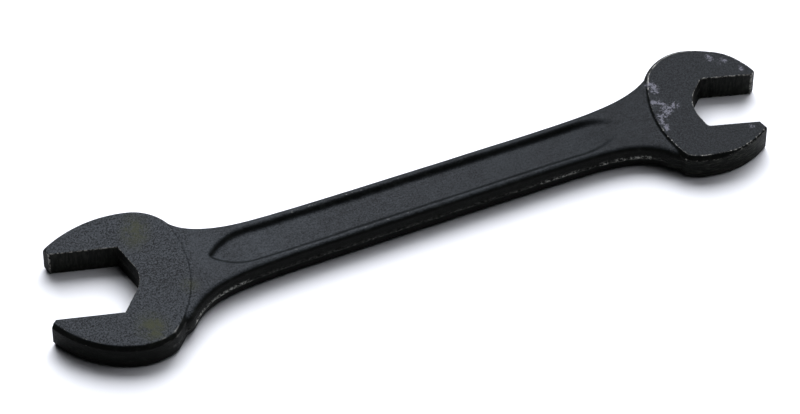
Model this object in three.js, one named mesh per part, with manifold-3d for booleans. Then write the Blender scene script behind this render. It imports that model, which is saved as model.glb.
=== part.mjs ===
// Double open-end wrench, drop forged in one piece.
// A shallow I-section shank joins two round-backed heads of the same thickness.
// The heads lean opposite ways, so the plan is a long S. Millimetres, +Z up.
// X runs along the shank from the large head to the small one, Z = 0 is the underside of the heads.
import * as THREE from "three";
import { mergeVertices } from "three/addons/utils/BufferGeometryUtils.js";
import Module from "manifold-3d";

// ---- driving dimensions ----
const HEAD_THICKNESS = 9;
const HEAD_EDGE_RUN = 0.9; // width of the broken edge round each head face
const HEAD_EDGE_DROP = 1.2; // depth of the same edge

// Each head is drawn in its own jaw frame: U towards the jaw opening, V across it,
// with the centre of the nut at the origin. The pairs are for the +V side and the -V side.
const LARGE_HEAD = {
  end: -1, // which end of the shank the jaw opens towards, along X
  nut: [-79.84, 1.84], // centre of the nut
  tilt: 13.5, // degrees that the jaw axis leans off the shank
  opening: 19.05, // across the jaw flats, 3/4 inch
  flatReach: 11.6, // where the flats end, beyond the centre of the nut
  tipReaches: [13.55, 12.9], // where the jaw tips end
  tipRadius: 1.8,
  throatRadius: 7,
  cornerRadius: 0.3, // between a flat and the throat
  widest: [-8.1, -8.7], // U of the widest points
  halfWidths: [20.4, 20.1],
  cheekRadii: [28, 32], // outline from the widest point to the jaw tip
  backRadii: [16.6, 13.1], // outline from the widest point to the neck
  flareSlopes: [1.1, 1.27], // slope of the shank's side where it leaves the head
  neckReach: -23.3, // U of the raised face's edge on the neck
  neckRadius: 29,
  neckShift: 0.1, // V of the centre of that edge
};
const SMALL_HEAD = {
  end: 1,
  nut: [83.45, -3.25],
  tilt: 15,
  opening: 14.29, // 9/16 inch
  flatReach: 8.9,
  tipReaches: [9.7, 11.1],
  tipRadius: 1.3,
  throatRadius: 8,
  cornerRadius: 1.5,
  widest: [-7, -5.9],
  halfWidths: [16.75, 16.8],
  cheekRadii: [20.6, 21.5],
  backRadii: [12, 15.5],
  flareSlopes: [0.9, 1.1],
  neckReach: -18.65,
  neckRadius: 28,
  neckShift: 3.5,
};

const MOUTH_SLOPE = 1.3; // slope of the broken corner between a flat and its tip

const SHANK_AXIS_Y = -0.9; // height of the shank's centre line in the plan
const SHANK_WIDTH = 13.2; // at X = 0
const SHANK_WIDTH_TAPER = 0.011; // width lost per millimetre of X
const SHANK_THICKNESS = 8.05; // over the ribs at X = 0
const SHANK_THICKNESS_TAPER = 0.004;
const RIB_WIDTH = 2.3; // from the outer side to the middle of the recess wall
const RIB_EDGE_RADIUS = 1.3;
const RECESS_DEPTH = 1.35;
const RECESS_WALL_RUN = 1.3;
const RECESS_SWELL = 0.2; // how much wider the recess may grow where the shank flares
const RECESS_FROM = -51.6;
const RECESS_TO = 59.5;
const RECESS_ROUND_FROM = 12; // length over which each end closes in
const RECESS_ROUND_TO = 14;
const RECESS_END_POWER = 0.65; // below 1 makes the ends blunter
const RECESS_RISE = 3.5; // length over which the recess reaches its depth, at the large head
const FLARE_INSET = 0.05; // how far the shank stays inside a head's outline where it enters
const FLARE_INSET_MAX = 1.4; // and further in, so that the head's broken edge stays clear
const FLARE_INSET_LENGTH = 5;

const ARC_STEP = 5; // degrees
const JOINT_TOLERANCE = 0.01;
const SHANK_STEPS = 64;
const CUT_MARGIN = 2;

const FINISH = { color: 0x26282b, roughness: 0.55, metalness: 0.35 };

// ---- plan geometry ----

// Direction of a head's U axis in the plan, as an angle. V is a quarter turn on from it.
function heading(head) {
  const tilt = THREE.MathUtils.degToRad(head.tilt);
  return head.end > 0 ? -tilt : Math.PI - tilt;
}

// Turns a point of a head's jaw frame into the plan.
function toPlan(head, u, v) {
  const a = heading(head);
  return [
    head.nut[0] + u * Math.cos(a) - v * Math.sin(a),
    head.nut[1] + u * Math.sin(a) + v * Math.cos(a),
  ];
}

// The crossing of two circles that lies on the given side of the line between their centres.
function crossing(c1, r1, c2, r2, side) {
  const dx = c2[0] - c1[0];
  const dy = c2[1] - c1[1];
  const d = Math.hypot(dx, dy);
  const along = (d * d + r1 * r1 - r2 * r2) / (2 * d);
  const across = side * Math.sqrt(r1 * r1 - along * along);
  return [
    c1[0] + (along * dx - across * dy) / d,
    c1[1] + (along * dy + across * dx) / d,
  ];
}

function angleFrom(centre, point) {
  return Math.atan2(point[1] - centre[1], point[0] - centre[0]);
}

// Points along an arc, both ends included, with steps of about ARC_STEP degrees.
function arc(cx, cy, radius, from, to) {
  const steps = Math.max(2, Math.ceil(THREE.MathUtils.radToDeg(Math.abs(to - from)) / ARC_STEP));
  const points = [];
  for (let i = 0; i <= steps; i += 1) {
    const angle = THREE.MathUtils.lerp(from, to, i / steps);
    points.push([cx + radius * Math.cos(angle), cy + radius * Math.sin(angle)]);
  }
  return points;
}

// One closed shape from runs of points that follow each other, without the doubled joints.
function chain(runs) {
  const points = [];
  for (const [x, y] of runs.flat()) {
    const last = points[points.length - 1];
    if (!last || Math.hypot(x - last.x, y - last.y) > JOINT_TOLERANCE) {
      points.push(new THREE.Vector2(x, y));
    }
  }
  return new THREE.Shape(points);
}

// One side of a head blank, drawn with V positive, from the jaw tip round the cheek to the widest
// point. The small arc that rounds the tip off is tangent to the cheek arc from inside.
function cheekSide(head, i) {
  const radius = head.cheekRadii[i];
  const widest = head.widest[i];
  const centreV = head.halfWidths[i] - radius;
  const tipU = head.tipReaches[i] - head.tipRadius;
  const across = Math.sqrt((radius - head.tipRadius) ** 2 - (tipU - widest) ** 2);
  const angle = Math.atan2(across, tipU - widest);
  return [
    ...arc(tipU, centreV + across, head.tipRadius, 0, angle),
    ...arc(widest, centreV, radius, angle, Math.PI / 2),
  ];
}

// The same side from the widest point round the back and along the neck edge.
function backSide(head, i) {
  const radius = head.backRadii[i];
  const back = [head.widest[i], head.halfWidths[i] - radius];
  const neck = [head.neckReach + head.neckRadius, i === 0 ? head.neckShift : -head.neckShift];
  const corner = crossing(neck, head.neckRadius, back, radius, -1);
  return [
    ...arc(back[0], back[1], radius, Math.PI / 2, angleFrom(back, corner)),
    ...arc(neck[0], neck[1], head.neckRadius, angleFrom(neck, corner), Math.PI),
  ];
}

// Outline of a head blank in its jaw frame: jaw tips, cheeks, back and neck edge.
function headOutline(head) {
  const upper = [...cheekSide(head, 0), ...backSide(head, 0)];
  const lower = [...cheekSide(head, 1), ...backSide(head, 1)];
  return chain([upper, lower.map(([u, v]) => [u, -v]).reverse()]);
}

// Outline of the jaw opening in the jaw frame: two flats, two hexagon sides and a rounded throat.
function jawOutline(head) {
  const half = head.opening / 2;
  const cornerU = -half / Math.sqrt(3);
  const r = head.cornerRadius;
  const cornerCentre = [cornerU + r / Math.sqrt(3), half - r];
  const throatU = -head.opening / Math.sqrt(3) + (2 * head.throatRadius) / Math.sqrt(3);
  const mouth = Math.max(...head.tipReaches) + CUT_MARGIN;
  const mouthHalf = half + (mouth - head.flatReach) * MOUTH_SLOPE;
  const turn = Math.PI / 6;
  return chain([
    [[mouth, -mouthHalf], [mouth, mouthHalf], [head.flatReach, half]],
    arc(cornerCentre[0], cornerCentre[1], r, 3 * turn, 5 * turn),
    arc(throatU, 0, head.throatRadius, 5 * turn, 7 * turn),
    arc(cornerCentre[0], -cornerCentre[1], r, 7 * turn, 9 * turn),
    [[head.flatReach, -half]],
  ]);
}

// Places a solid drawn in a jaw frame onto the plan.
function place(geometry, head, z) {
  geometry.rotateZ(heading(head));
  geometry.translate(head.nut[0], head.nut[1], z);
  return geometry;
}

function headBlank(head) {
  const geometry = new THREE.ExtrudeGeometry(headOutline(head), {
    depth: HEAD_THICKNESS - 2 * HEAD_EDGE_DROP,
    bevelEnabled: true,
    bevelThickness: HEAD_EDGE_DROP,
    bevelSize: HEAD_EDGE_RUN,
    bevelOffset: -HEAD_EDGE_RUN,
    bevelSegments: 2,
  });
  return place(geometry, head, HEAD_EDGE_DROP);
}

function jawCutter(head) {
  const geometry = new THREE.ExtrudeGeometry(jawOutline(head), {
    depth: HEAD_THICKNESS + 2 * CUT_MARGIN,
    bevelEnabled: false,
  });
  return place(geometry, head, -CUT_MARGIN);
}

// ---- shank ----

// 0 or 1: which of a head's pairs belongs to one side of the shank.
function pairIndex(head, side) {
  return side * head.end > 0 ? 0 : 1;
}

// Centre in the plan of the back arc of a head that one side of the shank runs into.
function backCentre(head, side) {
  const i = pairIndex(head, side);
  const across = side * head.end * (head.halfWidths[i] - head.backRadii[i]);
  return toPlan(head, head.widest[i], across);
}

// Where a shank side leaves a head: the point of the back arc that has the flare's slope.
function flareStart(head, side) {
  const i = pairIndex(head, side);
  const centre = backCentre(head, side);
  const radius = head.backRadii[i] - FLARE_INSET;
  const angle = Math.atan(head.flareSlopes[i]);
  return [
    centre[0] - head.end * radius * Math.sin(angle),
    centre[1] + side * radius * Math.cos(angle),
  ];
}

// Y of one side of the shank at a station: inside the back of a head, or the plain side plus
// the flare, which dies away along the shank.
function sideY(x, side) {
  const head = x < 0 ? LARGE_HEAD : SMALL_HEAD;
  const i = pairIndex(head, side);
  const plain = (at) => SHANK_AXIS_Y + (side * (SHANK_WIDTH - SHANK_WIDTH_TAPER * at)) / 2;
  const start = flareStart(head, side);
  const along = (start[0] - x) * head.end;
  if (along < 0) {
    const further = THREE.MathUtils.smoothstep(-along, 0, FLARE_INSET_LENGTH);
    const radius = head.backRadii[i] - THREE.MathUtils.lerp(FLARE_INSET, FLARE_INSET_MAX, further);
    const centre = backCentre(head, side);
    return centre[1] + side * Math.sqrt(radius ** 2 - (x - centre[0]) ** 2);
  }
  const rise = start[1] - plain(start[0]);
  return plain(x) + rise * Math.exp((-along * head.flareSlopes[i]) / Math.abs(rise));
}

// 0 outside the recess, 1 along most of it, rounding off at each end.
function recessClosure(x) {
  const from = THREE.MathUtils.clamp((x - RECESS_FROM) / RECESS_ROUND_FROM, 0, 1);
  const to = THREE.MathUtils.clamp((RECESS_TO - x) / RECESS_ROUND_TO, 0, 1);
  const short = Math.min(from, to);
  return Math.sin((short * Math.PI) / 2) ** RECESS_END_POWER;
}

function recessDepth(x) {
  const rise = THREE.MathUtils.smoothstep(x, RECESS_FROM, RECESS_FROM + RECESS_RISE);
  const fall = 1 - THREE.MathUtils.smoothstep(x, RECESS_TO - RECESS_ROUND_TO, RECESS_TO);
  return RECESS_DEPTH * Math.min(rise, fall);
}

// Half of the shank's section, from the +Y side over the top to the -Y side, as [y, z] with z >= 0.
function halfSection(x) {
  const h = (SHANK_THICKNESS - SHANK_THICKNESS_TAPER * x) / 2;
  const top = sideY(x, 1);
  const low = sideY(x, -1);
  const r = RIB_EDGE_RADIUS;
  const soft = r * (1 - Math.SQRT1_2);
  const closure = Math.max(recessClosure(x), 0.08);
  const middle = (top + low) / 2;
  const reach = Math.min((top - low) / 2 - RIB_WIDTH, SHANK_WIDTH / 2 - RIB_WIDTH + RECESS_SWELL) * closure;
  const run = (RECESS_WALL_RUN * closure) / 2;
  const floor = h - recessDepth(x);
  return [
    [top, 0],
    [top, h - r],
    [top - soft, h - soft],
    [top - r, h],
    [middle + reach + run, h],
    [middle + reach - run, floor],
    [middle - reach + run, floor],
    [middle - reach - run, h],
    [low + r, h],
    [low + soft, h - soft],
    [low, h - r],
    [low, 0],
  ];
}

// The shank as a loft of whole sections, closed by a fan at each end.
function shank() {
  const ends = [LARGE_HEAD, SMALL_HEAD].map((head) => toPlan(head, head.widest[0], 0)[0]);
  const positions = [];
  const index = [];
  let count = 0;
  for (let i = 0; i <= SHANK_STEPS; i += 1) {
    const x = THREE.MathUtils.lerp(ends[0], ends[1], i / SHANK_STEPS);
    const upper = halfSection(x);
    const lower = upper.slice(1, -1).reverse().map(([y, z]) => [y, -z]);
    const loop = upper.concat(lower);
    count = loop.length;
    for (const [y, z] of loop) {
      positions.push(x, y, z + HEAD_THICKNESS / 2);
    }
  }
  for (let i = 0; i < SHANK_STEPS; i += 1) {
    for (let j = 0; j < count; j += 1) {
      const a = i * count + j;
      const b = i * count + ((j + 1) % count);
      index.push(a, b, a + count, b, b + count, a + count);
    }
  }
  const last = SHANK_STEPS * count;
  for (let j = 1; j < count - 1; j += 1) {
    index.push(0, j + 1, j);
    index.push(last, last + j, last + j + 1);
  }
  const geometry = new THREE.BufferGeometry();
  geometry.setAttribute("position", new THREE.Float32BufferAttribute(positions, 3));
  geometry.setIndex(index);
  return geometry;
}

// ---- joining and cutting ----
const wasm = await Module();
wasm.setup();

function toSolid(geometry) {
  const bare = geometry.clone();
  bare.deleteAttribute("normal");
  bare.deleteAttribute("uv");
  const merged = mergeVertices(bare, 1e-4);
  return new wasm.Manifold(new wasm.Mesh({
    numProp: 3,
    vertProperties: merged.attributes.position.array,
    triVerts: new Uint32Array(merged.index.array),
  }));
}

function toGeometry(solid) {
  const mesh = solid.getMesh();
  const geometry = new THREE.BufferGeometry();
  geometry.setAttribute("position", new THREE.BufferAttribute(new Float32Array(mesh.vertProperties), 3));
  geometry.setIndex(new THREE.BufferAttribute(new Uint32Array(mesh.triVerts), 1));
  geometry.computeVertexNormals();
  return geometry;
}

// The whole wrench: shank and both head blanks joined, then the two jaws cut through.
function wrenchForging() {
  let body = toSolid(shank());
  for (const head of [LARGE_HEAD, SMALL_HEAD]) {
    body = body.add(toSolid(headBlank(head)));
  }
  for (const head of [LARGE_HEAD, SMALL_HEAD]) {
    body = body.subtract(toSolid(jawCutter(head)));
  }
  const material = new THREE.MeshStandardMaterial(FINISH);
  const mesh = new THREE.Mesh(toGeometry(body), material);
  mesh.name = "wrench_forging";
  return mesh;
}

const wrench = new THREE.Group();
wrench.add(wrenchForging());

export default wrench;
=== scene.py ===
import math

import bpy
import bmesh
import numpy as np
from mathutils import Matrix, Vector, noise


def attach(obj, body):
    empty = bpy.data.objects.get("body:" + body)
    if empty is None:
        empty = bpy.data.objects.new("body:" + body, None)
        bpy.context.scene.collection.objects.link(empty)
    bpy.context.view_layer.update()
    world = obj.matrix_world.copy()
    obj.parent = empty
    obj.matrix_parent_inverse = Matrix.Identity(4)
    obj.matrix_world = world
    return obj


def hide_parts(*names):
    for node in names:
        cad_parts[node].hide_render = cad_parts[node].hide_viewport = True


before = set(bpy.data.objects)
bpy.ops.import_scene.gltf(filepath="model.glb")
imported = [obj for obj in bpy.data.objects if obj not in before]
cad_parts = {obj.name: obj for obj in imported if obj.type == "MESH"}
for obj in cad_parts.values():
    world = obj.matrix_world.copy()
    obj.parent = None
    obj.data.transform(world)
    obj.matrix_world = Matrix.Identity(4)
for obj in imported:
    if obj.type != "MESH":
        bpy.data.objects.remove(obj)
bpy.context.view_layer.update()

MM = 0.001

# ---- dimensions shared with the CAD, in millimetres and degrees ----
HEAD_THICKNESS = 9.0
HEAD_EDGE_RUN = 0.9  # width of the broken edge round each head face
HEAD_EDGE_DROP = 1.2  # depth of the same edge
# Each head is drawn in its own jaw frame: U towards the jaw opening, V across it, with the
# centre of the nut at the origin. The pairs are for the +V side and the -V side.
LARGE_HEAD = {
    "end": -1,
    "nut": (-79.84, 1.84),
    "tilt": 13.5,
    "opening": 19.05,
    "flat_reach": 11.6,
    "tip_reaches": (13.55, 12.9),
    "tip_radius": 1.8,
    "throat_radius": 7.0,
    "corner_radius": 0.3,
    "widest": (-8.1, -8.7),
    "half_widths": (20.4, 20.1),
    "cheek_radii": (28.0, 32.0),
    "back_radii": (16.6, 13.1),
    "flare_slopes": (1.1, 1.27),
    "neck_reach": -23.3,
    "neck_radius": 29.0,
    "neck_shift": 0.1,
    "tip_edge": 1.0,  # not in the CAD: the share of the broken edge left at the jaw tips
}
SMALL_HEAD = {
    "end": 1,
    "nut": (83.45, -3.25),
    "tilt": 15.0,
    "opening": 14.29,
    "flat_reach": 8.9,
    "tip_reaches": (9.7, 11.1),
    "tip_radius": 1.3,
    "throat_radius": 8.0,
    "corner_radius": 1.5,
    "widest": (-7.0, -5.9),
    "half_widths": (16.75, 16.8),
    "cheek_radii": (20.6, 21.5),
    "back_radii": (12.0, 15.5),
    "flare_slopes": (0.9, 1.1),
    "neck_reach": -18.65,
    "neck_radius": 28.0,
    "neck_shift": 3.5,
    "tip_edge": 0.35,
}
HEADS = (LARGE_HEAD, SMALL_HEAD)
MOUTH_SLOPE = 1.3  # slope of the broken corner between a flat and its tip
SHANK_AXIS_Y = -0.9
SHANK_WIDTH = 13.2  # at X = 0
SHANK_WIDTH_TAPER = 0.011  # width lost per millimetre of X
SHANK_THICKNESS = 8.05  # over the ribs at X = 0
SHANK_THICKNESS_TAPER = 0.004
RECESS_DEPTH = 1.35
RECESS_SWELL = 0.2  # how much wider the recess may grow where the shank flares
RECESS_TO = 59.5
RECESS_ROUND_TO = 14.0  # length over which that end closes in
RECESS_END_POWER = 0.65  # below 1 makes the ends blunter

# ---- forging details that the CAD leaves out or draws more plainly ----
RECESS_FROM = -52.5
RECESS_ROUND_FROM = 11.0  # length over which that end closes in
RIB_WIDTH = 2.3  # from the outer side to the middle of the recess wall
RECESS_WALL_RUN = 1.9  # width of the wall between the rib and the web
RECESS_WALL_STEPS = 10
SLOPE_STEP = 0.05  # half the length over which the recess outline's slope is measured
FLARE_INSET = 0.1  # how far the shank stays inside a head's outline where it enters
FLARE_INSET_MAX = 1.5  # and further in, so that the head's broken edge stays clear
FLARE_INSET_LENGTH = 5.0
RIB_EDGE_RADIUS = 1.3
RIB_EDGE_STEPS = 6
NECK_EDGE_RADIUS = 2.3  # the shank's edges get rounder where it flares
NECK_EDGE_FROM = 1.0  # growth of the half width at which that starts, and is complete
NECK_EDGE_TO = 6.0
DRAFT = 0.06  # run per height on the forged sides
DRAFT_PROUD = 0.1  # how far the parting line stands outside the CAD's side
FLASH_HEIGHT = 0.4  # how far the trimmed flash stands out along the parting line
FLASH_HALF = 0.32  # half its thickness, roughly
FLASH_MEAN = 0.55  # share of the height that is left on average
# What is left comes and goes: (waves per mm, offset between the sides, phase, strength).
FLASH_RIPPLES = ((0.45, 7.0, 3.1, 0.9), (1.7, 11.0, 8.4, 0.6))
FLASH_SEEN = 0.6  # half the height of the bright line that it leaves: wear on the flash with a painted highlight
FLASH_FAINT = 0.15  # strength of that line, except where it is given here
FLASH_SHOWN = (  # (from X, to X, strength), on the -Y side
    (-61.0, -44.0, 1.0),
    (33.0, 43.7, 0.6),
    (49.0, 51.2, 0.9),
    (53.0, 55.7, 0.9),
    (57.0, 62.0, 0.9),
)
SIDE_LEVELS = (0.0, 0.12, 0.25, 0.4, 0.6, 0.9, 1.5)  # a side's points, from the parting line
EDGE_FADE_FROM = 4.0  # U past the widest point where the broken edge starts to get smaller
EDGE_FADE_TO = 6.0  # and U short of the tip where it is down to tip_edge
SHANK_STEPS = 300
ARC_STEP = 2.0  # degrees
OUTLINE_STEP = 0.4  # longest side of an outline
LEAST_MITRE = 0.5  # limits how far a corner runs out when an outline is moved
CUT_MARGIN = 2.0  # how far a jaw cutter reaches past the tips and the faces
JAW_BREAK = 0.12  # tiny chamfer on the milled edges
VOXEL = 0.2  # of the remeshed skin
SOFTEN_ROUNDS = 3  # rounds of relaxing that soften the forged edges
RELAX_SHARE = 0.5  # how far a vertex moves to its neighbours' mean in one round
UNEVEN = ((0.09, 0.05), (0.35, 0.025))  # (waves per mm, height) of the forged surface
SHARP_ANGLE = 38.0  # edges that turn more than this are shaded crisp
JOINT_TOLERANCE = 0.01  # points of an outline closer than this are one point

# ---- how the surfaces are told apart for the material ----
PROUD_ROUNDS = 4  # rounds of relaxing that a vertex's proudness is measured against
UPRIGHT = 0.35  # largest Z of the normal on a side
OPENING_SLACK = 0.06  # how far outside its outline a jaw's surface may lie
MILLED_BEHIND = 3.0  # how far behind the hexagon's corners the throat reaches, at most
GROUND_BEHIND = 8.0  # how far behind its widest point a head's side is ground


# ---- plan geometry, as in the CAD ----
def heading(head):
    """Direction of a head's U axis in the plan; V is a quarter turn on from it."""
    tilt = math.radians(head["tilt"])
    return -tilt if head["end"] > 0 else math.pi - tilt


def to_plan(head, u, v):
    """A point of a head's jaw frame, in the plan."""
    a = heading(head)
    x, y = head["nut"]
    return (
        x + u * math.cos(a) - v * math.sin(a),
        y + u * math.sin(a) + v * math.cos(a),
    )


def crossing(c1, r1, c2, r2, side):
    """The crossing of two circles on the given side of the line between their centres."""
    dx = c2[0] - c1[0]
    dy = c2[1] - c1[1]
    d = math.hypot(dx, dy)
    along = (d * d + r1 * r1 - r2 * r2) / (2 * d)
    across = side * math.sqrt(r1 * r1 - along * along)
    return (
        c1[0] + (along * dx - across * dy) / d,
        c1[1] + (along * dy + across * dx) / d,
    )


def angle_from(centre, point):
    """Direction of a point seen from a centre."""
    return math.atan2(point[1] - centre[1], point[0] - centre[0])


def arc(cx, cy, radius, start, end):
    """Points along an arc, both ends included."""
    steps = max(2, math.ceil(math.degrees(abs(end - start)) / ARC_STEP))
    angles = [start + (end - start) * i / steps for i in range(steps + 1)]
    return [(cx + radius * math.cos(a), cy + radius * math.sin(a)) for a in angles]


def resample(points, step):
    """The closed outline with no doubled points and no side longer than step."""
    kept = []
    for point in points:
        if not kept or math.dist(point, kept[-1]) > JOINT_TOLERANCE:
            kept.append(point)
    if math.dist(kept[0], kept[-1]) < JOINT_TOLERANCE:
        kept.pop()
    result = []
    for a, b in zip(kept, kept[1:] + kept[:1]):
        parts = max(1, math.ceil(math.dist(a, b) / step))
        for i in range(parts):
            t = i / parts
            result.append((a[0] + (b[0] - a[0]) * t, a[1] + (b[1] - a[1]) * t))
    return result


def offset_outline(points, distances):
    """An anticlockwise outline moved inwards by its own distance at each point."""
    count = len(points)
    moved = []
    for i, (x, y) in enumerate(points):
        before = Vector(points[i - 1])
        after = Vector(points[(i + 1) % count])
        here = Vector((x, y))
        d1 = (here - before).normalized()
        d2 = (after - here).normalized()
        n1 = Vector((-d1.y, d1.x))
        n2 = Vector((-d2.y, d2.x))
        mitre = (n1 + n2) / max(LEAST_MITRE, 1 + n1.dot(n2))
        moved.append((x + mitre.x * distances[i], y + mitre.y * distances[i]))
    return moved


def cheek_side(head, i):
    """One side of a head blank, from the jaw tip round the cheek to the widest point."""
    radius = head["cheek_radii"][i]
    widest = head["widest"][i]
    centre_v = head["half_widths"][i] - radius
    tip_u = head["tip_reaches"][i] - head["tip_radius"]
    along = tip_u - widest
    across = math.sqrt((radius - head["tip_radius"]) ** 2 - along**2)
    angle = math.atan2(across, along)
    return arc(tip_u, centre_v + across, head["tip_radius"], 0, angle) + arc(
        widest, centre_v, radius, angle, math.pi / 2
    )


def back_side(head, i):
    """The same side from the widest point round the back and along the neck edge."""
    radius = head["back_radii"][i]
    back = (head["widest"][i], head["half_widths"][i] - radius)
    shift = head["neck_shift"] if i == 0 else -head["neck_shift"]
    neck = (head["neck_reach"] + head["neck_radius"], shift)
    corner = crossing(neck, head["neck_radius"], back, radius, -1)
    return arc(*back, radius, math.pi / 2, angle_from(back, corner)) + arc(
        *neck, head["neck_radius"], angle_from(neck, corner), math.pi
    )


def head_outline(head):
    """Outline of a head blank in its jaw frame, anticlockwise."""
    upper = cheek_side(head, 0) + back_side(head, 0)
    lower = cheek_side(head, 1) + back_side(head, 1)
    return resample(upper + [(u, -v) for u, v in reversed(lower)], OUTLINE_STEP)


def throat_centre(head):
    """U of the centre of the throat's arc."""
    return (2 * head["throat_radius"] - head["opening"]) / math.sqrt(3)


def jaw_outline(head):
    """Outline of the jaw opening in the jaw frame, anticlockwise."""
    half = head["opening"] / 2
    corner_u = -half / math.sqrt(3)
    r = head["corner_radius"]
    centre_u = corner_u + r / math.sqrt(3)
    mouth = max(head["tip_reaches"]) + CUT_MARGIN
    mouth_half = half + (mouth - head["flat_reach"]) * MOUTH_SLOPE
    turn = math.pi / 6
    run = [(mouth, -mouth_half), (mouth, mouth_half), (head["flat_reach"], half)]
    run += arc(centre_u, half - r, r, 3 * turn, 5 * turn)
    run += arc(throat_centre(head), 0, head["throat_radius"], 5 * turn, 7 * turn)
    run += arc(centre_u, r - half, r, 7 * turn, 9 * turn)
    run += [(head["flat_reach"], -half)]
    return resample(run, OUTLINE_STEP)


# ---- shank, as in the CAD but finer ----
def clamp01(value):
    return min(1.0, max(0.0, value))


def smoothstep(value, low, high):
    """0 up to low, 1 from high on, and a smooth rise between them."""
    t = clamp01((value - low) / (high - low))
    return t * t * (3 - 2 * t)


def pair_index(head, side):
    """Which of a head's paired dimensions is on the given side of the shank."""
    return 0 if side * head["end"] > 0 else 1


def back_arc(head, side, inset=FLARE_INSET):
    """Centre and radius of the arc round the back of a head, moved inwards."""
    i = pair_index(head, side)
    across = side * head["end"] * (head["half_widths"][i] - head["back_radii"][i])
    return to_plan(head, head["widest"][i], across), head["back_radii"][i] - inset


def flare_start(head, side):
    """Where the shank's side leaves the arc round the back of a head."""
    centre, radius = back_arc(head, side)
    angle = math.atan(head["flare_slopes"][pair_index(head, side)])
    return (
        centre[0] - head["end"] * radius * math.sin(angle),
        centre[1] + side * radius * math.cos(angle),
    )


def plain_side(x, side):
    """Y of one side of the tapered shank, without the flares into the heads."""
    return SHANK_AXIS_Y + side * (SHANK_WIDTH - SHANK_WIDTH_TAPER * x) / 2


def side_y(x, side):
    """Y of one side of the shank: the back of a head, or the plain side plus the flare."""
    head = LARGE_HEAD if x < 0 else SMALL_HEAD
    start = flare_start(head, side)
    along = (start[0] - x) * head["end"]
    if along < 0:
        further = smoothstep(-along, 0, FLARE_INSET_LENGTH)
        inset = FLARE_INSET + (FLARE_INSET_MAX - FLARE_INSET) * further
        centre, radius = back_arc(head, side, inset)
        return centre[1] + side * math.sqrt(radius**2 - (x - centre[0]) ** 2)
    rise = start[1] - plain_side(start[0], side)
    slope = head["flare_slopes"][pair_index(head, side)]
    return plain_side(x, side) + rise * math.exp(-along * slope / abs(rise))


def recess_half(x):
    """Half the width of the recess between the tops of its walls."""
    start = clamp01((x - RECESS_FROM) / RECESS_ROUND_FROM)
    end = clamp01((RECESS_TO - x) / RECESS_ROUND_TO)
    closure = math.sin(min(start, end) * math.pi / 2) ** RECESS_END_POWER
    rib = RIB_WIDTH - RECESS_WALL_RUN / 2
    room = (side_y(x, 1) - side_y(x, -1)) / 2
    return (min(room, SHANK_WIDTH / 2 + RECESS_SWELL) - rib) * closure


def recess_wall(x, top):
    """The recess's side from its rim to its floor, as [distance from the middle, z]."""
    half = max(recess_half(x), 2 * SLOPE_STEP)
    slope = (recess_half(x + SLOPE_STEP) - recess_half(x - SLOPE_STEP)) / (2 * SLOPE_STEP)
    run = RECESS_WALL_RUN * math.hypot(1, slope)
    foot = max(half - run, SLOPE_STEP)
    depth = RECESS_DEPTH * (1 - smoothstep(x, RECESS_TO - RECESS_ROUND_TO, RECESS_TO))
    points = []
    for step in range(RECESS_WALL_STEPS + 1):
        y = half + (foot - half) * step / RECESS_WALL_STEPS
        down = 0.5 - 0.5 * math.cos(math.pi * (half - y) / run)
        points.append((y, top - depth * down))
    return points


def flash_height(x, side):
    """The trimmed flash is broken: it comes and goes along the parting line."""
    left = FLASH_MEAN
    for waves, apart, phase, strength in FLASH_RIPPLES:
        left += strength * noise.noise(Vector((x * waves, side * apart, phase)))
    return FLASH_HEIGHT * clamp01(left)


def outer_edge(x, side, half_height):
    """One outer side of the half section, from the parting line up to the top, as [y, z]."""
    y = side_y(x, side) + side * DRAFT_PROUD
    growth = abs(y - plain_side(x, side))
    soft = smoothstep(growth, NECK_EDGE_FROM, NECK_EDGE_TO)
    radius = RIB_EDGE_RADIUS + (NECK_EDGE_RADIUS - RIB_EDGE_RADIUS) * soft
    flash = flash_height(x, side)
    straight = half_height - radius
    points = []
    for level in SIDE_LEVELS:
        z = min(level, straight * level / SIDE_LEVELS[-1])
        proud = flash * math.exp(-((z / FLASH_HALF) ** 2)) - DRAFT * z
        points.append((y + side * proud, z))
    inner = radius + DRAFT * straight
    for step in range(RIB_EDGE_STEPS + 1):
        a = math.pi / 2 * step / RIB_EDGE_STEPS
        points.append(
            (y - side * (inner - radius * math.cos(a)), straight + radius * math.sin(a))
        )
    return points


def half_section(x):
    """Half of the shank's section, from the +Y side over the top to the -Y side."""
    h = (SHANK_THICKNESS - SHANK_THICKNESS_TAPER * x) / 2
    top = side_y(x, 1)
    low = side_y(x, -1)
    middle = (top + low) / 2
    wall = recess_wall(x, h)
    points = outer_edge(x, 1, h)
    points += [(middle + y, z) for y, z in wall]
    points += [(middle - y, z) for y, z in reversed(wall)]
    points += reversed(outer_edge(x, -1, h))
    return points


def add_loft(mesh, rings):
    """A closed solid through rings of the same number of points, with flat ends."""
    rows = [[mesh.verts.new(point) for point in ring] for ring in rings]
    for a, b in zip(rows, rows[1:]):
        for i in range(len(a)):
            j = (i + 1) % len(a)
            mesh.faces.new((a[i], a[j], b[j], b[i]))
    mesh.faces.new(rows[0][::-1])
    mesh.faces.new(rows[-1])


def add_shank(mesh):
    """The I-section shank, from the middle of one head to the middle of the other."""
    start, end = (to_plan(h, h["widest"][0], 0)[0] for h in HEADS)
    rings = []
    for i in range(SHANK_STEPS + 1):
        x = start + (end - start) * i / SHANK_STEPS
        upper = half_section(x)
        loop = upper + [(y, -z) for y, z in reversed(upper[1:-1])]
        rings.append([(x, y, z + HEAD_THICKNESS / 2) for y, z in loop])
    add_loft(mesh, rings)


def edge_left(head, u):
    """The share of a face's broken edge that is left at U; grinding took it at the tips."""
    start = head["widest"][0] + EDGE_FADE_FROM
    t = smoothstep(u, start, head["tip_reaches"][0] - EDGE_FADE_TO)
    return 1 + (head["tip_edge"] - 1) * t


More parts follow.
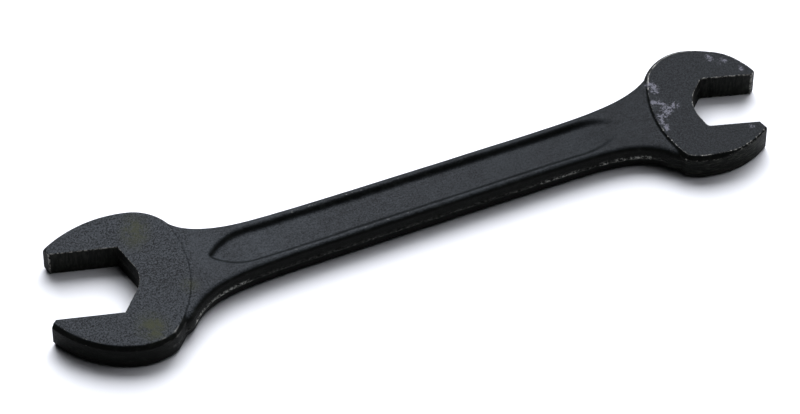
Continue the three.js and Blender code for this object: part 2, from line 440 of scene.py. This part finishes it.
def add_head(mesh, head):
    """A head blank: the face, a broken edge all round, and the upright ground side."""
    outline = head_outline(head)
    left = [edge_left(head, u) for u, _ in outline]
    inset = offset_outline(outline, [HEAD_EDGE_RUN * share for share in left])
    levels = []
    for z_sign in (-1, 1):
        face_z = HEAD_THICKNESS / 2 * (1 + z_sign)
        face = [(p, face_z) for p in inset]
        side = [(p, face_z - z_sign * HEAD_EDGE_DROP * s) for p, s in zip(outline, left)]
        levels += [face, side] if z_sign < 0 else [side, face]
    rings = [[(*to_plan(head, *p), z) for p, z in level] for level in levels]
    add_loft(mesh, rings)


def add_jaw_cutter(mesh, head):
    """The milled jaw opening, a little wider where it meets the faces."""
    outline = jaw_outline(head)
    top = HEAD_THICKNESS
    heights = [-CUT_MARGIN, 0.0, JAW_BREAK]
    steps = math.ceil(top / OUTLINE_STEP)
    heights += [JAW_BREAK + (top - 2 * JAW_BREAK) * i / steps for i in range(1, steps)]
    heights += [top - JAW_BREAK, top, top + CUT_MARGIN]
    rings = []
    for z in heights:
        grow = max(0.0, JAW_BREAK - z, JAW_BREAK - (top - z))
        ring = offset_outline(outline, [-grow] * len(outline))
        rings.append([(*to_plan(head, *p), z) for p in ring])
    add_loft(mesh, rings)


def new_object(name, build):
    """A mesh object in metres from a function that adds millimetre geometry to a bmesh."""
    mesh = bmesh.new()
    build(mesh)
    bmesh.ops.recalc_face_normals(mesh, faces=mesh.faces)
    bmesh.ops.scale(mesh, vec=(MM, MM, MM), verts=mesh.verts)
    data = bpy.data.meshes.new(name)
    mesh.to_mesh(data)
    mesh.free()
    obj = bpy.data.objects.new(name, data)
    bpy.context.scene.collection.objects.link(obj)
    return obj


def apply_modifiers(obj):
    """Replaces an object's mesh by what its modifiers make of it."""
    graph = bpy.context.evaluated_depsgraph_get()
    made = bpy.data.meshes.new_from_object(obj.evaluated_get(graph))
    old = obj.data
    obj.modifiers.clear()
    obj.data = made
    bpy.data.meshes.remove(old)


def coordinates(data):
    """A mesh's vertex positions, one row each."""
    flat = np.empty(len(data.vertices) * 3)
    data.vertices.foreach_get("co", flat)
    return flat.reshape(-1, 3)


def edge_pairs(data):
    """The two vertex numbers of every edge."""
    flat = np.empty(len(data.edges) * 2, dtype=np.int64)
    data.edges.foreach_get("vertices", flat)
    return flat.reshape(-1, 2)


def relaxed(points, pairs, rounds):
    """The points after some rounds of moving each one towards its neighbours' mean."""
    count = len(points)
    degree = np.bincount(pairs.ravel(), minlength=count).astype(float)
    degree[degree == 0] = 1
    moved = points.copy()
    for _ in range(rounds):
        total = np.empty_like(moved)
        for axis in range(3):
            values = moved[:, axis]
            one = np.bincount(pairs[:, 0], weights=values[pairs[:, 1]], minlength=count)
            two = np.bincount(pairs[:, 1], weights=values[pairs[:, 0]], minlength=count)
            total[:, axis] = (one + two) / degree
        moved += RELAX_SHARE * (total - moved)
    return moved


def vertex_normals(data):
    """A mesh's vertex normals, one row each."""
    flat = np.empty(len(data.vertices) * 3)
    data.vertex_normals.foreach_get("vector", flat)
    return flat.reshape(-1, 3)


def roughen(data):
    """Softens the remeshed edges and gives the forged skin its slight unevenness."""
    points = relaxed(coordinates(data), edge_pairs(data), SOFTEN_ROUNDS)
    data.vertices.foreach_set("co", points.ravel())
    data.update()
    normals = vertex_normals(data)
    lift = np.zeros(len(points))
    for waves, height in UNEVEN:
        places = points * (waves / MM)
        lift += height * np.array([noise.noise(Vector(p)) for p in places])
    points += normals * (lift * MM)[:, None]
    points[:, 2] = np.clip(points[:, 2], 0, HEAD_THICKNESS * MM)
    data.vertices.foreach_set("co", points.ravel())
    data.update()


def store(data, name, values):
    """Keeps one number per vertex, for the material to read."""
    layer = data.attributes.new(name, "FLOAT", "POINT")
    layer.data.foreach_set("value", values.astype(np.float32))


def jaw_frame(head, points):
    """U and V of plan points, in millimetres."""
    a = heading(head)
    dx = points[:, 0] / MM - head["nut"][0]
    dy = points[:, 1] / MM - head["nut"][1]
    return dx * math.cos(a) + dy * math.sin(a), dy * math.cos(a) - dx * math.sin(a)


def mark_surfaces(data):
    """Stores where the skin stands proud, and where it is milled, ground or part of a head."""
    points = coordinates(data)
    normals = vertex_normals(data)
    away = points - relaxed(points, edge_pairs(data), PROUD_ROUNDS)
    store(data, "proud", (away * normals).sum(axis=1) / MM)
    upright = np.abs(normals[:, 2]) < UPRIGHT
    milled = np.zeros(len(points), dtype=bool)
    ground = np.zeros(len(points), dtype=bool)
    on_head = np.zeros(len(points), dtype=bool)
    for head in HEADS:
        u, v = jaw_frame(head, points)
        half = head["opening"] / 2
        corner = -half / math.sqrt(3)
        throat = np.hypot(u - throat_centre(head), v) - head["throat_radius"]
        inside = np.abs(v) < half + OPENING_SLACK
        inside &= (throat < OPENING_SLACK) | (u > corner)
        milled |= upright & inside & (u > corner - MILLED_BEHIND)
        beyond = u > head["widest"][0] - GROUND_BEHIND
        ground |= upright & beyond & ~inside & (np.abs(v) > half)
        on_head |= u > head["neck_reach"]
    store(data, "milled", milled)
    store(data, "ground", ground)
    store(data, "head", on_head)
    mark_flash_wear_and_highlight(data, points, milled | ground)


def mark_flash_wear_and_highlight(data, points, machined):
    """Stores the bright broken line along the parting line of the forged sides: wear on the
    trimmed flash, and a painted highlight of its ridge.
    """
    x = points[:, 0] / MM
    above = points[:, 2] / MM - HEAD_THICKNESS / 2
    front = points[:, 1] < SHANK_AXIS_Y * MM
    shown = np.full(len(points), FLASH_FAINT)
    for start, end, strength in FLASH_SHOWN:
        shown[(x > start) & (x < end) & front] = strength
    store(data, "flash", ~machined * np.exp(-((above / FLASH_SEEN) ** 2)) * shown)


def forging():
    """The whole wrench: joined blanks, softened as forged, then the two jaws cut through."""

    def blanks(mesh):
        add_shank(mesh)
        for head in HEADS:
            add_head(mesh, head)

    obj = new_object("forged_wrench", blanks)
    remesh = obj.modifiers.new("Skin", "REMESH")
    remesh.mode = "VOXEL"
    remesh.voxel_size = VOXEL * MM
    apply_modifiers(obj)
    roughen(obj.data)
    for head in HEADS:
        cutter = new_object("cutter", lambda mesh: add_jaw_cutter(mesh, head))
        cut = obj.modifiers.new("Jaw", "BOOLEAN")
        cut.operation = "DIFFERENCE"
        cut.solver = "MANIFOLD"
        cut.object = cutter
        apply_modifiers(obj)
        bpy.data.objects.remove(cutter)
    data = obj.data
    data.shade_smooth()
    data.set_sharp_from_angle(angle=math.radians(SHARP_ANGLE))
    mark_surfaces(data)
    return obj


# ---- material ----
# Numbers of the Mix node's colour sockets, which share their names with the others.
COLOUR_A = 6
COLOUR_B = 7
COLOUR_RESULT = 2


class Nodes:
    """Short calls for building one material's node tree."""

    def __init__(self, name):
        self.material = bpy.data.materials.new(name)
        self.material.use_nodes = True
        self.tree = self.material.node_tree
        self.tree.nodes.clear()

    def add(self, kind, **settings):
        node = self.tree.nodes.new(kind)
        for key, value in settings.items():
            setattr(node, key, value)
        return node

    def put(self, socket, value):
        """Links a socket to another node's output, or sets it to a constant."""
        if isinstance(value, bpy.types.NodeSocket):
            self.tree.links.new(value, socket)
        else:
            socket.default_value = value

    def math(self, operation, a, b=0.0, clamp=False):
        """A Math node's result; a and b are sockets or numbers."""
        node = self.add("ShaderNodeMath", operation=operation, use_clamp=clamp)
        self.put(node.inputs[0], a)
        self.put(node.inputs[1], b)
        return node.outputs[0]

    def times(self, a, b, clamp=False):
        return self.math("MULTIPLY", a, b, clamp)

    def less(self, a, b):
        return self.math("SUBTRACT", a, b)

    def plus(self, *values):
        result = values[0]
        for value in values[1:]:
            result = self.math("ADD", result, value)
        return result

    def ramp(self, value, low, high, to_low=0.0, to_high=1.0):
        """A smooth step from to_low at low to to_high at high."""
        node = self.add("ShaderNodeMapRange", interpolation_type="SMOOTHSTEP")
        for socket, given in zip(node.inputs, (value, low, high, to_low, to_high)):
            self.put(socket, given)
        return node.outputs[0]

    def part(self, vector, axis):
        """One of a vector's components."""
        node = self.add("ShaderNodeSeparateXYZ")
        self.put(node.inputs[0], vector)
        return node.outputs[axis]

    def stretched(self, vector, factors):
        """The vector times the factors; a factor below 1 draws a pattern out."""
        node = self.add("ShaderNodeVectorMath", operation="MULTIPLY")
        self.put(node.inputs[0], vector)
        self.put(node.inputs[1], factors)
        return node.outputs[0]

    def noise(self, vector, scale, detail, roughness=0.5, distortion=0.0):
        node = self.add("ShaderNodeTexNoise")
        self.put(node.inputs["Vector"], vector)
        self.put(node.inputs["Scale"], scale)
        self.put(node.inputs["Detail"], detail)
        self.put(node.inputs["Roughness"], roughness)
        self.put(node.inputs["Distortion"], distortion)
        return node.outputs["Fac"]

    def mix(self, share, a, b):
        """Colour a where the share is 0 and colour b where it is 1."""
        node = self.add("ShaderNodeMix", data_type="RGBA")
        self.put(node.inputs[0], share)
        self.put(node.inputs[COLOUR_A], a)
        self.put(node.inputs[COLOUR_B], b)
        return node.outputs[COLOUR_RESULT]

    def attribute(self, name):
        """A number that the mesh keeps per vertex."""
        return self.add("ShaderNodeAttribute", attribute_name=name).outputs["Fac"]

    def near(self, place, centre, radius):
        """1 at the centre, falling to 0 at the radius; both in millimetres."""
        node = self.add("ShaderNodeVectorMath", operation="DISTANCE")
        self.put(node.inputs[0], place)
        self.put(node.inputs[1], [c * MM for c in centre])
        return self.ramp(node.outputs["Value"], 0.0, radius * MM, 1.0, 0.0)

    def surface(self, inputs):
        """The material, with a Principled surface whose inputs are given by name."""
        shader = self.add("ShaderNodeBsdfPrincipled")
        for name, value in inputs.items():
            self.put(shader.inputs[name], value)
        output = self.add("ShaderNodeOutputMaterial")
        self.put(output.inputs["Surface"], shader.outputs["BSDF"])
        return self.material


# Linear colours of the finish.
FACE_DARK = (0.0022, 0.0027, 0.0031, 1)  # the grainy tone of the faces, which as a whole are painted lighter than the sides
FACE_LIGHT = (0.0262, 0.0292, 0.0318, 1)
FACE_PAINTED_SHADE = (0.0102, 0.0120, 0.0131, 1)  # painted shade: the faces' colour towards the small head
SIDE_DARK = (0.0012, 0.0017, 0.0009, 1)  # the oily black of everything upright, made darker and greener than the faces with painted shade
SIDE_LIGHT = (0.0340, 0.0365, 0.0290, 1)
STAIN = (0.0215, 0.0235, 0.0120, 1)
# the bright line of the flash: wear on the trimmed flash, and a painted highlight of its ridge
FLASH_WEAR_AND_HIGHLIGHT = (0.3800, 0.3800, 0.3500, 1)
RUBBED = (0.0850, 0.0840, 0.0960, 1)
BARE = (0.2200, 0.2150, 0.1950, 1)

# Noise fields: (waves per metre, detail, roughness, distortion).
CLOUD = (70, 4, 0.55)
MOTTLE = (520, 4, 0.6)
SPECKLE = (2100, 5, 0.9)
GRAIN = (2300, 2, 0.6)
RAGGED = (420, 8, 0.68, 0.3)
FINE_RAGGED = (1500, 5, 0.7)
TORN = (850, 7, 0.75, 0.6)
STREAKS = (1900, 4, 0.65)
STREAK_STRETCH = (1, 1, 0.12)  # broaching marks run through the thickness
RUBS = (2200, 4, 0.65)
RUB_STRETCH = (0.2, 0.2, 1)  # grinding marks run round the head
NOISE_MEAN = 0.5

# Tone of the faces: each field's share, the base and the range that goes from dark to light.
CLOUD_SHARE = 0.35
MOTTLE_SHARE = 0.25
TONE_BASE = 0.2
WEB_GRAIN = 1.3  # strength of the grain
HEAD_GRAIN = 3.0  # added to that on the heads
FACE_RANGE = (0.27, 0.73)
PAINTED_SHADE_ALONG_X = (-70.0, 90.0)  # X over which the faces darken towards the small head, as painted shade
PAINTED_LIGHT_FACING_RANGE = (0.54, 0.97)  # Z of the normal, from a side to a face: faces get painted light, sides and broken edges painted shade

# Tone of the sides.
MOTTLED_RANGE = (0.42, 0.75)
MOTTLED_SHARE = 0.45
SCRATCHED_RANGE = (0.42, 0.72)
SCRATCHES_AND_LIGHT_FROM = (50.0, 90.0)  # X over which the ground sides get more scratched and lighter: real scratching, with painted light towards the small head
SCRATCHES_AND_LIGHT_SHARES = (0.4, 2.0)
BRUSHED_RANGE = (0.25, 0.8)
BRUSHED_SHARE = 1.1
SIDE_FULL = 1.6  # total at which a side has its lightest tone

# Wear: (where the noise starts to show it, where it shows in full), and how strong it gets.
STAIN_RANGE = (0.3, 0.65)
STAIN_SHARE = 0.75
TORN_RANGE = (0.575, 0.62)
TORN_LIFT = 0.12
TORN_FADE = 0.05
RUBBED_SHARE = 0.75
EDGE_RAGGEDNESS = 0.12
HANDLED_FROM = (40.0, 70.0)  # X over which handling starts to wear the edges more
HANDLED_LIFT = 0.012
WORN_RANGE = (0.026, 0.06)  # how far an edge stands proud, in millimetres
PROUD_RANGE = (0.006, 0.02)
CHIPPED_RANGE = (0.42, 0.60)
BEVEL_PROUD_RANGE = (0.004, 0.02)
BEVEL_RANGE = (0.35, 0.6)
BEVEL_SHARE = 0.7
RUBBED_METAL = 0.2
WORN_METAL = 0.4

ROUGHNESS_RANGE = (0.25, 0.75, 0.60, 0.48)  # speckle from, to, roughness from, to
ROUGHNESS_CLOUD = 0.12
ROUGHNESS_WORN = 0.12
SPECKLE_RELIEF = 1.5
STREAK_RELIEF = 1.2
RELIEF_STRENGTH = 0.6
RELIEF_HEIGHT = 0.1
OXIDE_IOR = 1.45
OXIDE_SPECULAR = 0.11

# Places where handling has rubbed the finish: (head, U, V, radius), in the jaw frame.
RUBBED_PATCHES = (
    (SMALL_HEAD, -14.0, -0.8, 3.0),
    (SMALL_HEAD, -15.1, -3.7, 2.8),
    (SMALL_HEAD, -16.4, 1.3, 2.0),
    (SMALL_HEAD, -11.6, -0.1, 1.8),
    (SMALL_HEAD, -14.5, -6.8, 1.6),
    (SMALL_HEAD, -17.0, 6.8, 2.2),
    (SMALL_HEAD, -16.0, 4.9, 2.0),
    (SMALL_HEAD, -1.1, 13.4, 1.8),
    (SMALL_HEAD, 2.0, 11.9, 1.8),
    (SMALL_HEAD, 6.4, 9.3, 1.2),
    (SMALL_HEAD, 6.7, -8.4, 1.1),
)
# Faint greenish stains.
STAINED_PATCHES = (
    (LARGE_HEAD, -11.0, 14.1, 6.0),
    (LARGE_HEAD, -12.8, 15.7, 5.0),
    (LARGE_HEAD, -10.5, -15.3, 5.0),
    (LARGE_HEAD, -10.1, -11.8, 5.5),
    (LARGE_HEAD, -22.0, 3.8, 3.5),
)
# Stretches of the broken edge that handling has worn down to a brownish grey.
WORN_BEVEL = (
    (LARGE_HEAD, -14.6, 18.8, 2.0),
    (LARGE_HEAD, -18.0, 17.0, 2.4),
    (LARGE_HEAD, -20.6, 14.6, 2.4),
    (LARGE_HEAD, -22.0, 12.6, 1.8),
    (SMALL_HEAD, -17.5, 8.7, 3.0),
    (SMALL_HEAD, -15.1, 11.5, 3.4),
    (SMALL_HEAD, -11.4, 14.8, 3.6),
    (SMALL_HEAD, -7.5, 16.0, 3.0),
)


def in_metres(lengths):
    """Millimetre lengths for the shader, which works in metres."""
    return [length * MM for length in lengths]


class Finish(Nodes):
    """The node tree of the black oxide, with the fields that its layers share."""

    def __init__(self):
        super().__init__("black_oxide")
        coords = self.add("ShaderNodeTexCoord")
        self.place = coords.outputs["Object"]
        self.x = self.part(self.place, "X")
        normal_z = self.part(coords.outputs["Normal"], "Z")
        # Painted light and shade by facing: 1 on the faces, which get the lighter colour, 0 on
        # the sides and broken edges, which get the darker one.
        self.painted_light_by_facing = self.ramp(self.math("ABSOLUTE", normal_z), *PAINTED_LIGHT_FACING_RANGE)
        self.proud = self.attribute("proud")
        self.milled = self.attribute("milled")
        self.ground = self.attribute("ground")
        self.cloud = self.noise(self.place, *CLOUD)
        self.mottle = self.noise(self.place, *MOTTLE)
        self.speckle = self.noise(self.place, *SPECKLE)
        self.ragged = self.noise(self.place, *RAGGED)
        self.fine_ragged = self.noise(self.place, *FINE_RAGGED)
        self.streaks = self.noise(self.stretched(self.place, STREAK_STRETCH), *STREAKS)
        self.rubs = self.noise(self.stretched(self.place, RUB_STRETCH), *RUBS)

    def patches(self, entries):
        """The sum of soft round spots on the upper faces of the heads."""
        spots = []
        for head, u, v, radius in entries:
            x, y = to_plan(head, u, v)
            spots.append(self.near(self.place, (x, y, HEAD_THICKNESS), radius))
        return self.plus(*spots)


def face_colour(f):
    """The grainy tone of the faces, darkened towards the small head with painted shade."""
    contrast = f.plus(f.times(f.attribute("head"), HEAD_GRAIN), WEB_GRAIN)
    grain = f.times(f.less(f.speckle, NOISE_MEAN), contrast)
    tone = f.plus(f.times(f.cloud, CLOUD_SHARE), f.times(f.mottle, MOTTLE_SHARE))
    tone = f.plus(tone, grain, TONE_BASE)
    # Painted shade: the faces get darker towards the small head.
    light = f.mix(f.ramp(f.x, *in_metres(PAINTED_SHADE_ALONG_X)), FACE_LIGHT, FACE_PAINTED_SHADE)
    return f.mix(f.ramp(tone, *FACE_RANGE), FACE_DARK, light)


def side_colour(f):
    """The oily black sides with painted shade, grinding scratch marks that get lighter towards
    the small head with painted light there, and the broaching marks in the jaws.
    """
    scratched = f.times(f.ramp(f.rubs, *SCRATCHED_RANGE), f.ground)
    # More scratch marks and painted light on the ground sides towards the small head.
    scratch_and_light = f.ramp(f.x, *in_metres(SCRATCHES_AND_LIGHT_FROM), *SCRATCHES_AND_LIGHT_SHARES)
    brushed = f.times(f.ramp(f.streaks, *BRUSHED_RANGE), f.milled)
    tone = f.plus(
        f.times(f.ramp(f.mottle, *MOTTLED_RANGE), MOTTLED_SHARE),
        f.times(scratched, scratch_and_light),
        f.times(brushed, BRUSHED_SHARE),
    )
    return f.mix(f.ramp(tone, 0.0, SIDE_FULL), SIDE_DARK, SIDE_LIGHT)


def stains(f):
    """How strongly the greenish stains show."""
    spots = f.times(f.patches(STAINED_PATCHES), f.ramp(f.ragged, *STAIN_RANGE))
    return f.times(spots, STAIN_SHARE, clamp=True)


def flash_wear_and_highlight(f):
    """How strongly the chipped bright line of the flash shows: wear and a painted highlight.
    """
    return f.times(f.attribute("flash"), f.ramp(f.fine_ragged, *CHIPPED_RANGE))


def rubbed_patches(f):
    """Ragged patches where the finish has been rubbed thin."""
    patch = f.times(f.patches(RUBBED_PATCHES), TORN_LIFT, clamp=True)
    torn = f.ramp(f.plus(f.noise(f.place, *TORN), patch), *TORN_RANGE)
    return f.times(torn, f.ramp(patch, 0.0, TORN_FADE))


def worn_bevel(f):
    """How strongly the worn stretches of the broken edge show."""
    proud = f.ramp(f.proud, *BEVEL_PROUD_RANGE)
    bevel = f.times(f.patches(WORN_BEVEL), proud, clamp=True)
    return f.times(f.times(bevel, f.ramp(f.ragged, *BEVEL_RANGE)), BEVEL_SHARE)


def worn_edges(f):
    """Bare chips along the proud edges, more of them on the small head."""
    chips = f.times(f.less(f.fine_ragged, NOISE_MEAN), EDGE_RAGGEDNESS)
    handled = f.ramp(f.x, *in_metres(HANDLED_FROM), 0.0, HANDLED_LIFT)
    worn = f.ramp(f.plus(f.proud, chips, handled), *WORN_RANGE)
    worn = f.times(worn, f.ramp(f.proud, *PROUD_RANGE))
    return f.times(worn, f.ramp(f.fine_ragged, *CHIPPED_RANGE))


def roughness(f, worn):
    """Varies with the speckle and the clouds; worn edges are smoother."""
    rough = f.ramp(f.speckle, *ROUGHNESS_RANGE)
    rough = f.plus(rough, f.times(f.less(f.cloud, NOISE_MEAN), ROUGHNESS_CLOUD))
    return f.less(rough, f.times(worn, ROUGHNESS_WORN))


def relief(f):
    """Grain on the forged skin, broaching marks in the jaws, grinding marks on the sides."""
    grain = f.plus(f.noise(f.place, *GRAIN), f.times(f.speckle, SPECKLE_RELIEF))
    skin = f.times(grain, f.less(1.0, f.milled))
    marks = f.times(f.times(f.streaks, f.milled), STREAK_RELIEF)
    bump = f.add("ShaderNodeBump")
    f.put(bump.inputs["Strength"], RELIEF_STRENGTH)
    f.put(bump.inputs["Distance"], RELIEF_HEIGHT * MM)
    f.put(bump.inputs["Height"], f.plus(skin, marks, f.times(f.rubs, f.ground)))
    return bump.outputs["Normal"]


def oxide_material():
    """Black oxide: grainy faces and oily sides, painted lighter and darker by which way they
    face, then stains, wear and the flash line's painted highlight over them.
    """
    f = Finish()
    rubbed = rubbed_patches(f)
    worn = worn_edges(f)
    # Painted light and shade: the lighter face colour on the faces, the darker side colour on
    # the sides and broken edges.
    colour = f.mix(f.painted_light_by_facing, side_colour(f), face_colour(f))
    colour = f.mix(stains(f), colour, STAIN)
    # The flash line: wear, and a painted highlight of the ridge.
    colour = f.mix(flash_wear_and_highlight(f), colour, FLASH_WEAR_AND_HIGHLIGHT)
    colour = f.mix(f.times(rubbed, RUBBED_SHARE), colour, RUBBED)
    colour = f.mix(worn_bevel(f), colour, BARE)
    colour = f.mix(worn, colour, BARE)
    metal = f.math("MAXIMUM", f.times(rubbed, RUBBED_METAL), f.times(worn, WORN_METAL))
    return f.surface(
        {
            "Base Color": colour,
            "Metallic": metal,
            "Roughness": roughness(f, worn),
            "Normal": relief(f),
            "IOR": OXIDE_IOR,
            "Specular IOR Level": OXIDE_SPECULAR,
        }
    )


# ---- studio, in metres and watts ----
FLOOR_SIZE = 8.0
FLOOR_SQUARES = 8
FLOOR_DROP = 0.00002  # keeps the floor's plane apart from the wrench's underside
FLOOR_COLOUR = (0.50, 0.50, 0.50, 1)
FLOOR_COLOUR_PALE = (0.52, 0.52, 0.52, 1)
FLOOR_NOISE = (3, 2)
FLOOR_ROUGHNESS = 0.8
FLOOR_SPECULAR = 0.1
LIGHT_COLOUR = (0.97, 0.99, 1.06)
LIGHTS = (  # name, direction from the wrench, distance, size, power
    ("soft_key", (0.24, 0.70, 1.0), 1.05, (1.05, 0.9), 31),
    ("soft_top", (0.45, 0.1, 1.0), 2.0, (1.8, 1.8), 28),
)
WORLD_COLOUR = (0.9, 0.95, 1.0, 1)
WORLD_STRENGTH = 0.02


def floor_material():
    """Pale, dull and very slightly uneven."""
    t = Nodes("studio_floor")
    place = t.add("ShaderNodeTexCoord").outputs["Object"]
    tone = t.mix(t.noise(place, *FLOOR_NOISE), FLOOR_COLOUR, FLOOR_COLOUR_PALE)
    return t.surface(
        {
            "Base Color": tone,
            "Roughness": FLOOR_ROUGHNESS,
            "Specular IOR Level": FLOOR_SPECULAR,
        }
    )


def make_floor():
    """A large plane just under the wrench, which counts as staging."""
    def build(mesh):
        half = FLOOR_SIZE / 2 / MM
        squares = FLOOR_SQUARES
        bmesh.ops.create_grid(mesh, x_segments=squares, y_segments=squares, size=half)

    floor = new_object("studio_floor", build)
    floor.data.materials.append(floor_material())
    floor.location.z = -FLOOR_DROP


def area_light(name, direction, distance, size, power):
    """A soft rectangular light that shines at the middle of the wrench from a direction."""
    data = bpy.data.lights.new(name, "AREA")
    data.shape = "RECTANGLE"
    data.size = size[0]
    data.size_y = size[1]
    data.energy = power
    data.color = LIGHT_COLOUR
    obj = bpy.data.objects.new(name, data)
    way = Vector(direction).normalized()
    obj.location = way * distance
    obj.rotation_euler = way.to_track_quat("Z", "Y").to_euler()
    bpy.context.scene.collection.objects.link(obj)


def make_lights():
    """The soft lights, and a faint cool light from all round."""
    for light in LIGHTS:
        area_light(*light)
    world = bpy.data.worlds.new("studio")
    bpy.context.scene.world = world
    world.use_nodes = True
    background = world.node_tree.nodes["Background"]
    background.inputs["Color"].default_value = WORLD_COLOUR
    background.inputs["Strength"].default_value = WORLD_STRENGTH


# ---- camera, in millimetres and degrees ----
CAMERA_TARGET = (-1.95, -1.45, 4.5)
CAMERA_AZIMUTH = -21.2
CAMERA_ELEVATION = 57.0
CAMERA_DISTANCE = 1441.35
CAMERA_LENS = 261.0
CAMERA_SENSOR = 36.0
CAMERA_ROLL = 0.2
CAMERA_SEES = 50000.0


def make_camera():
    """A long lens that looks down at the wrench from the front left."""
    data = bpy.data.cameras.new("camera")
    data.lens = CAMERA_LENS
    data.sensor_width = CAMERA_SENSOR
    data.clip_end = CAMERA_SEES * MM
    camera = bpy.data.objects.new("camera", data)
    azimuth = math.radians(CAMERA_AZIMUTH)
    elevation = math.radians(CAMERA_ELEVATION)
    away = Vector(
        (
            math.sin(azimuth) * math.cos(elevation),
            -math.cos(azimuth) * math.cos(elevation),
            math.sin(elevation),
        )
    )
    target = Vector(CAMERA_TARGET) * MM
    move = Matrix.Translation(target + away * CAMERA_DISTANCE * MM)
    turn = away.to_track_quat("Z", "Y").to_matrix().to_4x4()
    roll = Matrix.Rotation(math.radians(CAMERA_ROLL), 4, "Z")
    camera.matrix_world = move @ turn @ roll
    bpy.context.scene.collection.objects.link(camera)
    bpy.context.scene.camera = camera


wrench = forging()
wrench.data.materials.clear()
wrench.data.materials.append(oxide_material())
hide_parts("wrench_forging")
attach(wrench, "root")
make_floor()
make_lights()
make_camera()
bpy.context.scene.view_settings.view_transform = "Standard"
bpy.context.scene.view_settings.look = "Medium High Contrast"
